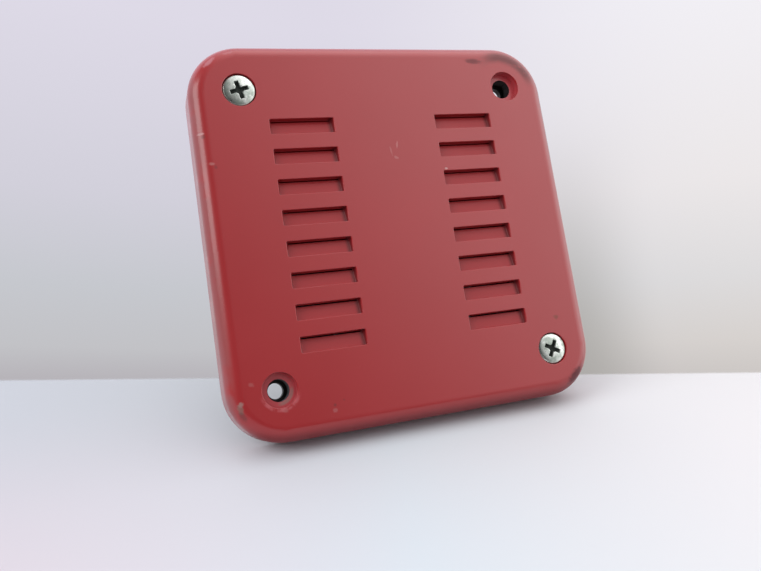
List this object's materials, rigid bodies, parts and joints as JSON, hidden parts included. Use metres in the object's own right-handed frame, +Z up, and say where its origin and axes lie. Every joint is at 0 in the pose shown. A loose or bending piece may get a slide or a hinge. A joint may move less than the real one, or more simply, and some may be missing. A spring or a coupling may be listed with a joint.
{
  "type": "alarm siren",
  "caption": "Square wall-mounted alarm siren with a louvred die-cast cover over a vibrating horn, for flush mounting on an electrical box.",
  "frame": {"origin": "centre of the cover's rear rim, in the wall plane", "axes": "+Z up, -Y out of the wall through the louvred face, +X to the right as seen from the front"},
  "size_m": [0.1206, 0.0602, 0.1206],
  "materials": {
    "red_paint": "semi-gloss red enamel on a die casting",
    "bright_zinc": "bright zinc plate",
    "black_plate": "black-painted sheet steel",
    "foam": "matt black closed-cell foam",
    "fibre": "brown fibre sheet",
    "cast_aluminium": "as cast",
    "spring_steel": "cold-rolled spring steel",
    "steel": "turned steel",
    "soft_iron": "soft iron, dull",
    "nylon": "natural nylon",
    "enamelled_copper": "enamelled copper wire, wound",
    "phenolic": "moulded phenolic",
    "brass": "plain brass",
    "tungsten": "ground tungsten",
    "capacitor_case": "dipped film capacitor",
    "diode_case": "moulded epoxy",
    "rubber": "black rubber",
    "red_wire": "red PVC insulation",
    "black_wire": "black PVC insulation"
  },
  "bodies": {
    "siren": {"front_cover": "red_paint", "cover_screw_upper_left": "bright_zinc", "cover_screw_lower_right": "bright_zinc", "cover_nut_upper_left": "bright_zinc", "cover_nut_lower_right": "bright_zinc", "frame_screw_1": "bright_zinc", "frame_screw_2": "bright_zinc", "frame_screw_3": "bright_zinc", "frame_screw_4": "bright_zinc", "frame_screw_5": "bright_zinc", "frame_screw_6": "bright_zinc", "core_screw": "bright_zinc", "breaker_screw_1": "bright_zinc", "breaker_screw_2": "bright_zinc", "block_screw_1": "bright_zinc", "block_screw_2": "bright_zinc", "mounting_plate": "black_plate", "wall_gasket": "foam", "diaphragm_gasket_front": "fibre", "diaphragm_gasket_rear": "fibre", "horn_frame": "cast_aluminium", "magnet_yoke": "soft_iron", "magnet_core": "soft_iron", "coil_bobbin": "nylon", "coil_winding": "enamelled_copper", "breaker_block": "phenolic", "contact_insulator": "phenolic", "terminal_block": "phenolic", "contact_bracket": "brass", "adjusting_lock_nut": "brass", "terminal_clamp_1": "brass", "terminal_clamp_2": "brass", "terminal_clamp_3": "brass", "terminal_clamp_4": "brass", "fixed_contact": "tungsten", "suppressor_capacitor": "capacitor_case", "series_diode": "diode_case", "lead_grommet": "rubber", "coil_lead": "red_wire", "breaker_lead": "black_wire", "arm_lead": "black_wire"},
    "diaphragm_assembly": {"diaphragm": "spring_steel", "centre_washer_front": "bright_zinc", "centre_washer_rear": "bright_zinc", "centre_nut": "bright_zinc", "armature_stud": "steel", "armature": "soft_iron"},
    "contact_breaker": {"contact_arm": "brass", "moving_contact": "tungsten", "contact_pusher": "phenolic"},
    "adjusting_screw": {"adjusting_screw": "brass"},
    "terminal_screw_1": {"terminal_screw_1": "brass"},
    "terminal_screw_2": {"terminal_screw_2": "brass"},
    "terminal_screw_3": {"terminal_screw_3": "brass"},
    "terminal_screw_4": {"terminal_screw_4": "brass"}
  },
  "joints": [
    {"name": "horn_stroke", "type": "slide", "parent": "siren", "child": "diaphragm_assembly", "axis": [0, 1, 0], "range_m": [-0.0002, 0.0006], "stiffness_N_per_m": 4000, "deforming": ["diaphragm"]},
    {"name": "contact_swing", "type": "hinge", "parent": "siren", "child": "contact_breaker", "pos_m": [0.03197, 0.0102, 0], "axis": [0, 0, 1], "range_deg": [-2.59, 0.93], "stiffness_Nm_per_rad": 0.01},
    {"name": "adjusting_turn", "type": "hinge", "parent": "siren", "child": "adjusting_screw", "pos_m": [0.02457, 0.0402, -0.006], "axis": [0, 1, 0], "continuous": true},
    {"name": "terminal_turn_1", "type": "hinge", "parent": "siren", "child": "terminal_screw_1", "pos_m": [-0.0165, 0.0451, 0.017], "axis": [0, 1, 0], "continuous": true},
    {"name": "terminal_turn_2", "type": "hinge", "parent": "siren", "child": "terminal_screw_2", "pos_m": [-0.0055, 0.0451, 0.017], "axis": [0, 1, 0], "continuous": true},
    {"name": "terminal_turn_3", "type": "hinge", "parent": "siren", "child": "terminal_screw_3", "pos_m": [0.0055, 0.0451, 0.017], "axis": [0, 1, 0], "continuous": true},
    {"name": "terminal_turn_4", "type": "hinge", "parent": "siren", "child": "terminal_screw_4", "pos_m": [0.0165, 0.0451, 0.017], "axis": [0, 1, 0], "continuous": true}
  ],
  "couplings": [
    {"joint": "contact_swing", "follows": "horn_stroke", "rad_per_m": -72.464}
  ]
}
